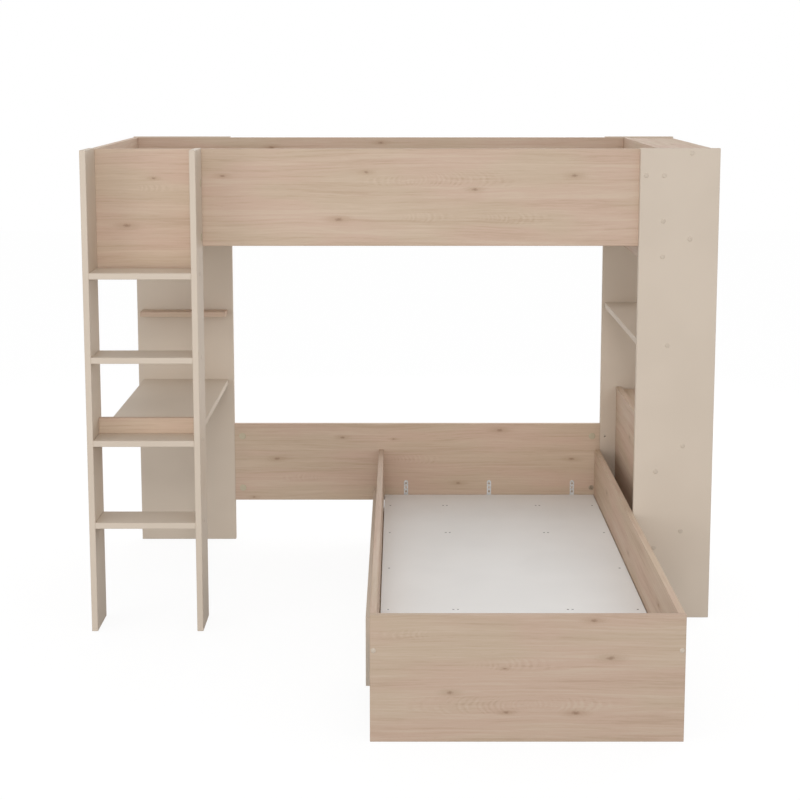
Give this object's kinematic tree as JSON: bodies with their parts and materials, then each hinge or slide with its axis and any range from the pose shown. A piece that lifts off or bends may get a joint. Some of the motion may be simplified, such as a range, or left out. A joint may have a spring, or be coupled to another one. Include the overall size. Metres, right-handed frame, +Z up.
{
  "type": "l shaped bunk bed",
  "caption": "L-shaped bunk bed of flat boards: a high bed over a single bed at right angles, with a ladder, a desk board and open end shelves.",
  "frame": {"origin": "on the floor, in the middle of the whole bed's bounding box", "axes": "+X to the right along the high bed, +Y towards the wall behind it, +Z up"},
  "size_m": [2.276, 2.074, 1.75],
  "materials": {
    "beige_board": "smooth satin taupe melamine on chipboard",
    "oak_board": "satin light oak decor with grain along the board",
    "white_board": "satin off-white melamine",
    "raw_wood": "planed pine and beech, unfinished",
    "zinc_steel": "bright zinc plated",
    "cover_plastic": "matt grey-beige plastic"
  },
  "bodies": {
    "root": {"back_left_panel": "beige_board", "back_right_panel": "beige_board", "front_right_panel": "beige_board", "ladder_left_rail": "beige_board", "ladder_right_rail": "beige_board", "ladder_step_1": "beige_board", "ladder_step_3": "beige_board", "ladder_step_4": "beige_board", "desk_top": "beige_board", "bedside_shelf": "beige_board", "low_plinth": "beige_board", "desk_stop_strip": "oak_board", "wall_shelf": "oak_board", "ladder_guard_panel": "oak_board", "upper_front_rail": "oak_board", "upper_back_rail": "oak_board", "upper_left_end_board": "oak_board", "upper_right_end_board": "oak_board", "cabinet_top_shelf": "oak_board", "niche_shelf": "oak_board", "cabinet_back_board": "oak_board", "low_cabinet_top": "oak_board", "low_cabinet_shelf": "oak_board", "low_back_rail": "oak_board", "footboard": "oak_board", "low_left_rail": "oak_board", "low_right_rail": "oak_board", "upper_base_board": "white_board", "low_base_board": "white_board", "upper_front_ledger": "raw_wood", "upper_back_ledger": "raw_wood", "low_left_ledger": "raw_wood", "low_right_ledger": "raw_wood", "upper_batten_1": "raw_wood", "upper_batten_2": "raw_wood", "upper_batten_3": "raw_wood", "upper_batten_4": "raw_wood", "low_batten_1": "raw_wood", "low_batten_2": "raw_wood", "low_batten_3": "raw_wood", "low_batten_4": "raw_wood", "dowels": "raw_wood", "base_brackets": "zinc_steel", "bracket_screws": "zinc_steel", "base_screws": "zinc_steel", "ledger_screws": "zinc_steel", "seam_plates": "zinc_steel", "seam_screws": "zinc_steel", "panel_screws": "zinc_steel", "short_screws": "zinc_steel", "cam_housings": "zinc_steel", "cam_bolts": "zinc_steel", "bed_bolts": "zinc_steel", "barrel_nuts": "zinc_steel", "screw_caps": "cover_plastic", "cam_covers": "cover_plastic", "bolt_caps": "cover_plastic"}
  },
  "joints": []
}
